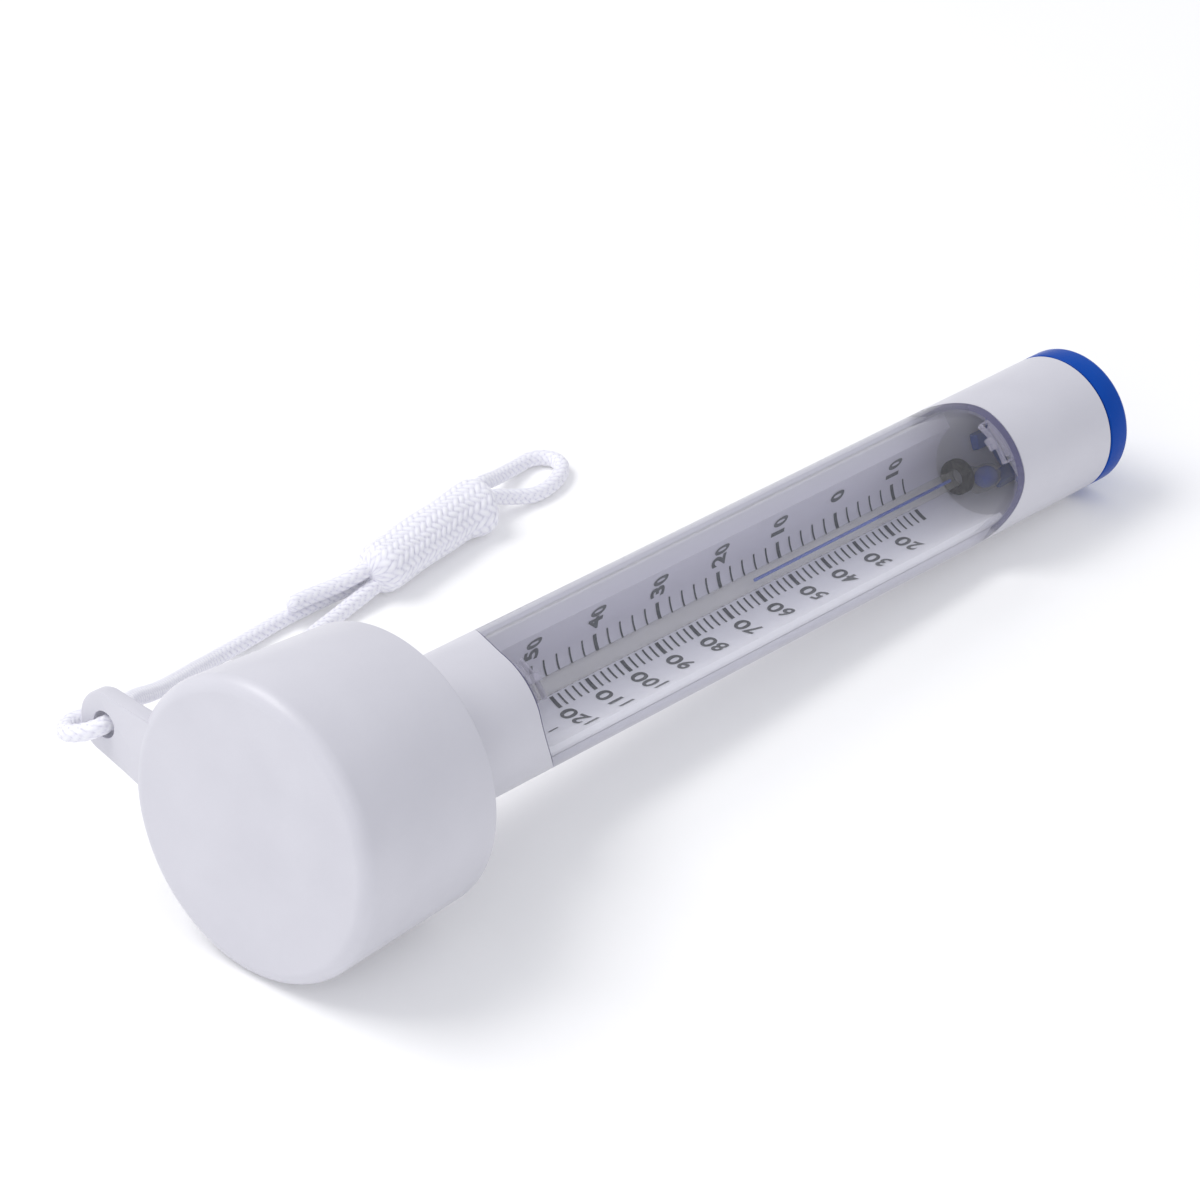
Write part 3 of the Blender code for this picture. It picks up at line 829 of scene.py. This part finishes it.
def add_number(bm, text, at, middle, weight):
    """A printed number, which reads across the tube with its top towards the float. Weight is how far its
    strokes are thickened, as a share of its height."""
    curve = bpy.data.curves.new("digits", "FONT")
    curve.body = text
    curve.size = DIGIT_HEIGHT / FONT_HEIGHT
    curve.offset = weight * DIGIT_HEIGHT
    curve.space_character = 1.08
    curve.resolution_u = 6
    obj = bpy.data.objects.new("digits", curve)
    bpy.context.collection.objects.link(obj)
    mesh = bpy.data.meshes.new_from_object(obj.evaluated_get(bpy.context.evaluated_depsgraph_get()))
    bpy.data.objects.remove(obj)
    flat = bmesh.new()
    flat.from_mesh(mesh)
    bmesh.ops.triangulate(flat, faces=flat.faces)
    bmesh.ops.subdivide_edges(flat, edges=[e for e in flat.edges if e.calc_length() > 0.3], cuts=3)
    xs = [v.co.x for v in flat.verts]
    ys = [v.co.y for v in flat.verts]
    centre_x = (min(xs) + max(xs)) / 2
    centre_y = (min(ys) + max(ys)) / 2
    copies = {}
    for vert in flat.verts:
        along_arc = middle + vert.co.x - centre_x
        copies[vert] = bm.verts.new(print_point(at - (vert.co.y - centre_y), along_arc))
    for face in flat.faces:
        bm.faces.new([copies[vert] for vert in face.verts])
    flat.free()


def make_print(mats):
    """Both scales: thin marks every 2 degrees, thick ones and numbers every 10."""
    bm = bmesh.new()
    for degree in [-12] + list(range(-10, 51, 2)):
        thick = degree % 10 == 0
        at = ZERO_AT - MM_PER_DEGREE * degree
        add_mark(bm, at, *MARKS_C, THICK_MARK if thick else THIN_MARK)
        if thick:
            add_number(bm, str(abs(degree)), at, NUMBERS_C, WEIGHT_C)
    for degree in range(10, 121, 2):
        thick = degree % 10 == 0
        at = ZERO_AT - MM_PER_DEGREE * (degree - 32) / 1.8
        add_mark(bm, at, *MARKS_F, THICK_MARK if thick else THIN_MARK)
        if thick and degree >= 20:
            middle = NUMBERS_F if degree < 100 else LONG_NUMBERS_F
            add_number(bm, str(degree), at, middle, WEIGHT_F)
    add_mark(bm, PRINT_DASH, -6.6, -6.85, 1.9)
    finish_mesh("scale_print", bm, mats["ink"])


# ---------------------------------------------------------------- thermometer


def tapered(points, radii, sides=24):
    """A round tube with closed ends along a few points."""
    bm = bmesh.new()
    rings = []
    for i, (point, radius) in enumerate(zip(points, radii)):
        ahead = points[min(i + 1, len(points) - 1)] - points[max(i - 1, 0)]
        turn = ahead.to_track_quat("X", "Z").to_matrix()
        ring = []
        for j in range(sides):
            a = math.tau * j / sides
            ring.append(bm.verts.new(point + turn @ Vector((0, math.cos(a), math.sin(a))) * radius * MM))
        rings.append(ring)
    bm.faces.new(rings[0][::-1])
    bm.faces.new(rings[-1])
    for a, b in zip(rings, rings[1:]):
        for i in range(sides):
            bm.faces.new((a[i - 1], a[i], b[i], b[i - 1]))
    return bm


def stem_rod(name, start, end, mats, body):
    """A thread of liquid on the stem's line, with only its two end rings."""
    points = [polar(start, STEM_CENTRE, STEM_ANGLE), polar(end, STEM_CENTRE, STEM_ANGLE)]
    thread = tapered(points, [LIQUID_RADIUS, LIQUID_RADIUS], 16)
    return finish_mesh(name, thread, mats["liquid"], body)


def make_glass(mats):
    """The capillary with its rounded tip, and the bulb, set a little aside beyond a bend."""
    stem_lengths = (48.6, 49.2, STEM_START, 100.0, 150.0, STEM_END)
    bulb_lengths = (163.0, 164.0, 165.4, 166.6, 167.0, 167.15)
    stem = [polar(length, STEM_CENTRE, STEM_ANGLE) for length in stem_lengths]
    bend = [polar(161.0, 6.85, -137.0), polar(162.2, 7.0, -144.0)]
    bulb = [polar(length, BULB_CENTRE, BULB_ANGLE) for length in bulb_lengths]
    radii = [0.3, 1.1] + [STEM_RADIUS] * 4 + [1.5, 1.8] + [2.05, 2.1, 2.1, 1.8, 1.2, 0.4]
    glass = finish_mesh("capillary", tapered(stem + bend + bulb, radii), mats["glass"])
    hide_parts("thermometer_glass", "glass_tip")


def make_liquid_pieces(mats):
    """The column's moving end, the thread that stretches behind it, and the liquid in the bulb."""
    level = frame_level()
    tip = stem_rod("liquid_top_end", level, level + TIP_LENGTH, mats, TOP)
    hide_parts("column_tip")
    start = level + TIP_LENGTH + 0.05
    column = stem_rod("liquid_thread", start, COLUMN_END, mats, None)
    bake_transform(column)
    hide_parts("liquid_column")

    lengths = (163.2, 163.8, 164.6, 165.6, 166.3, 166.6)
    inside = [polar(length, BULB_CENTRE, BULB_ANGLE) for length in lengths]
    drop = tapered(inside, [0.9, 1.45, 1.7, 1.7, 1.4, 0.8])
    filling = finish_mesh("bulb_filling", drop, mats["liquid"])
    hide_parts("bulb_liquid")


def make_seat(mats):
    """The rubber ring that the stem passes through, just above the bulb."""
    crown = SEAT_RADIUS - SEAT_EDGE
    profile = [(SEAT_START, SEAT_BORE), (SEAT_END, SEAT_BORE)]
    profile += arc((SEAT_END - SEAT_EDGE, crown), SEAT_EDGE, 0, 90, 3)
    profile += arc((SEAT_START + SEAT_EDGE, crown), SEAT_EDGE, 90, 180, 3)
    ring = spun(profile, 48, (STEM_CENTRE, STEM_ANGLE), True)
    seat = finish_mesh("bulb_seat", ring, mats["rubber"])
    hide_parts("lower_grommet")


def frame_level():
    """The liquid's level along the tube, from the CAD's moving piece."""
    low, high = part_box("column_tip")
    return (TUBE.inverted() @ ((Vector(low) + Vector(high)) / 2)).x / MM - TIP_LENGTH / 2


# ---------------------------------------------------------------- end cap


def make_end_cap(mats):
    """The blue snap-in cap with its band, skirt and snap fingers."""
    inner_edge = TUBE_RADIUS - CAP_INNER_EDGE
    profile = [(CAP_START, 0.0), (CAP_START, inner_edge)]
    profile += arc((CAP_START + CAP_INNER_EDGE, inner_edge), CAP_INNER_EDGE, 180, 90, 3)
    profile += arc((TOTAL_LENGTH - CAP_EDGE, TUBE_RADIUS - CAP_EDGE), CAP_EDGE, 90, 0, 8)
    profile += [(TOTAL_LENGTH, 0.0)]
    cap = finish_mesh("cap_band", spun(profile, 160), mats["blue"])
    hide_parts("end_cap")
    skirt = [
        (SKIRT_START, SKIRT_INNER),
        (CAP_START + 0.1, SKIRT_INNER),
        (CAP_START + 0.1, SKIRT_NECK),
        (SKIRT_SHOULDER, SKIRT_NECK),
        (SKIRT_SHOULDER, SKIRT_OUTER),
        (SKIRT_START, SKIRT_OUTER),
    ]
    finish_mesh("cap_skirt", spun(skirt, 96, closed=True), mats["blue"])
    for i in range(FINGER_COUNT):
        angle = FINGER_ANGLE + 360.0 / FINGER_COUNT * i
        block = arc_block(FINGER_START, SKIRT_START + 0.2, SKIRT_INNER, SKIRT_OUTER, angle, FINGER_HALF_ANGLE)
        finger = finish_mesh(f"cap_finger_{i + 1}", block, mats["blue"])
        soften(finger, 0.25)


# ---------------------------------------------------------------- cord


def smooth(points):
    """A Catmull-Rom curve through the points, resampled evenly, as an array in mm."""
    route = np.array(points, float)
    route = np.vstack([2 * route[0] - route[1], route, 2 * route[-1] - route[-2]])
    fine = []
    for a, b, c, d in zip(route, route[1:], route[2:], route[3:]):
        for t in np.linspace(0, 1, 40, endpoint=False):
            square = (2 * a - 5 * b + 4 * c - d) * t**2
            cube = (3 * b - a - 3 * c + d) * t**3
            fine.append(0.5 * (2 * b + (c - a) * t + square + cube))
    fine = np.array(fine + [route[-2]])
    run = np.concatenate([[0.0], np.cumsum(np.linalg.norm(np.diff(fine, axis=0), axis=1))])
    even = np.linspace(0.0, run[-1], max(4, int(run[-1] / CORD_STEP)))
    return np.column_stack([np.interp(even, run, fine[:, i]) for i in range(3)])


def yarn_height(around, run, yarns, pitch):
    """Relief of a two-over, two-under braid, 0 to 1, at a share of a turn and a length in mm."""
    a = yarns * (around + run / pitch)
    b = yarns * (around - run / pitch)
    fa = a - np.floor(a)
    fb = b - np.floor(b)
    place = np.mod(np.floor(a) + np.floor(b), 4)
    over_a = place < 2
    width = np.where(over_a, fa, fb)
    length = np.where(over_a, (place + fb) / 2, (place - 2 + fa) / 2)
    return np.sqrt(np.sin(np.pi * width)) * (0.45 + 0.55 * np.sin(np.pi * length))


def skin(name, verts, height, mats):
    """A closed tube mesh over rings of points in mm, with the yarns' height kept for its material."""
    count, sides = height.shape
    index = np.arange(count * sides).reshape(count, sides)
    nexts = np.roll(index, -1, axis=1)
    quads = np.stack([index[:-1], nexts[:-1], nexts[1:], index[1:]], axis=-1).reshape(-1, 4)
    faces = quads.tolist() + [index[0][::-1].tolist(), index[-1].tolist()]
    mesh = bpy.data.meshes.new(name)
    mesh.from_pydata((verts.reshape(-1, 3) * MM).tolist(), [], faces)
    mesh.shade_smooth()
    painted_shade_attribute = mesh.attributes.new("yarn_height", "FLOAT", "POINT")
    painted_shade_attribute.data.foreach_set("value", height.astype(np.float32).ravel())
    mesh.materials.append(mats["cord"])
    obj = bpy.data.objects.new(name, mesh)
    bpy.context.collection.objects.link(obj)
    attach(obj, BODY)
    return obj


def braid(name, centre, mats, ends=0.0):
    """A braided cord along an array of points in mm, with its yarns in relief. Its tips are rounded off over
    the length called ends."""
    ahead = np.gradient(centre, axis=0)
    ahead /= np.linalg.norm(ahead, axis=1)[:, None]
    run = np.concatenate([[0.0], np.cumsum(np.linalg.norm(np.diff(centre, axis=0), axis=1))])
    normal = np.cross(ahead[0], (0.0, 0.0, 1.0))
    normals = []
    for direction in ahead:
        normal = normal - direction * normal.dot(direction)
        normal /= np.linalg.norm(normal)
        normals.append(normal)
    normals = np.array(normals)
    others = np.cross(ahead, normals)
    around = np.arange(CORD_SIDES) / CORD_SIDES
    height = yarn_height(around[None, :], run[:, None], YARNS, BRAID_PITCH)
    scale = np.ones(len(centre))
    if ends:
        near = np.clip(np.minimum(run, run[-1] - run) / ends, 0.0, 1.0)
        scale = 0.12 + 0.88 * np.sqrt(1.0 - (1.0 - near) ** 2)
    reach = (CORD_RADIUS - YARN_RELIEF + YARN_RELIEF * height) * scale[:, None]
    turn = math.tau * around
    verts = (
        centre[:, None, :]
        + reach[:, :, None] * np.cos(turn)[None, :, None] * normals[:, None, :]
        + reach[:, :, None] * np.sin(turn)[None, :, None] * others[:, None, :]
    )
    return skin(name, verts, height, mats)


def make_knot(mats):
    """The barrel knot: a fat braided sleeve, a little uneven, with a lump low at its loop end."""
    axis = np.array(KNOT_END - KNOT_START)
    length = np.linalg.norm(axis)
    axis /= length
    side = np.cross(axis, (0.0, 0.0, 1.0))
    up = np.cross(side, axis)
    run = np.concatenate([
        KNOT_EDGE * (1.0 - np.cos(np.linspace(0.0, math.pi / 2, 16, endpoint=False))),
        np.linspace(KNOT_EDGE, length - KNOT_EDGE, 110, endpoint=False),
        length - KNOT_EDGE * (1.0 - np.sin(np.linspace(0.0, math.pi / 2, 16))),
    ])
    run[-1] = length
    around = np.arange(KNOT_SIDES) / KNOT_SIDES
    turn = math.tau * around[None, :]
    near = np.clip(np.minimum(run, length - run) / KNOT_EDGE, 0.0, 1.0)
    radius = KNOT_RADIUS - KNOT_EDGE + KNOT_EDGE * np.sqrt(1.0 - (1.0 - near) ** 2)
    down = run[:, None]
    wander = 0.35 * np.sin(0.43 * down + 3 * turn) + 0.25 * np.sin(0.9 * down - 2 * turn + 1.0)
    height = yarn_height(around[None, :] + 0.012 * wander, down + 0.5 * wander, KNOT_YARNS, KNOT_PITCH)
    swell = 0.10 * np.sin(3 * turn + 0.16 * down) + 0.08 * np.sin(0.5 * down + turn)
    lump_along = np.exp(-(((run - length + LUMP_PLACE) / LUMP_LENGTH) ** 2))[:, None]
    lump = lump_along * np.clip(np.cos(turn - LUMP_TURN), 0.0, 1.0) ** 2
    uneven = KNOT_RELIEF * height + swell + LUMP_HEIGHT * lump
    reach = (radius[:, None] - KNOT_SLACK - KNOT_RELIEF) + uneven * near[:, None]
    verts = (
        np.array(KNOT_START)
        + run[:, None, None] * axis
        + reach[:, :, None] * (np.cos(turn)[:, :, None] * side + np.sin(turn)[:, :, None] * up)
    )
    return skin("cord_knot_sleeve", verts, height, mats)


def make_cord(mats):
    """The doubled cord from the lug, its barrel knot, the end loop and the tail."""
    middle = STRAND_BACK + CORE_OUT + END_LOOP + CORE_BACK + STRAND_FRONT[::-1]
    centre = smooth(middle)
    cord = braid("cord", centre, mats)
    knot = make_knot(mats)
    tail = braid("cord_end", smooth(TAIL), mats, ends=1.1)
    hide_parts("cord_strand_back", "cord_strand_front", "cord_end_loop")
    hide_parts("cord_knot")
    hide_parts("cord_tail")


def make_floor(mats):
    """The plain pale floor."""
    bm = bmesh.new()
    bmesh.ops.create_grid(bm, x_segments=8, y_segments=8, size=3.0)
    floor = finish_mesh("floor", bm, mats["floor"], body=None, matrix=Matrix.Identity(4))


def dress_hidden(mats):
    """CAD pieces that stay as they are get their own materials."""
    finishes = {
        "float_seal": "rubber",
        "neck_seal": "rubber",
        "upper_grommet": "rubber",
        "cap_seal": "rubber",
        "tube_plug": "white",
        "ballast_weight": "steel",
    }
    for node, key in finishes.items():
        frame["nodes"][node].data.materials.clear()
        frame["nodes"][node].data.materials.append(mats[key])


CELSIUS_ARC = card_arc(CARD_WIDTH_C)
FAHRENHEIT_ARC = card_arc(CARD_WIDTH_F)

make_camera()
make_light()
mats = make_materials()
make_cord(mats)
make_floor(mats)
make_float(mats)
make_float_disc(mats)
make_tube(mats)
make_window(mats)
make_clips(mats)
make_card(mats)
make_print(mats)
make_glass(mats)
make_liquid_pieces(mats)
make_seat(mats)
make_end_cap(mats)
dress_hidden(mats)
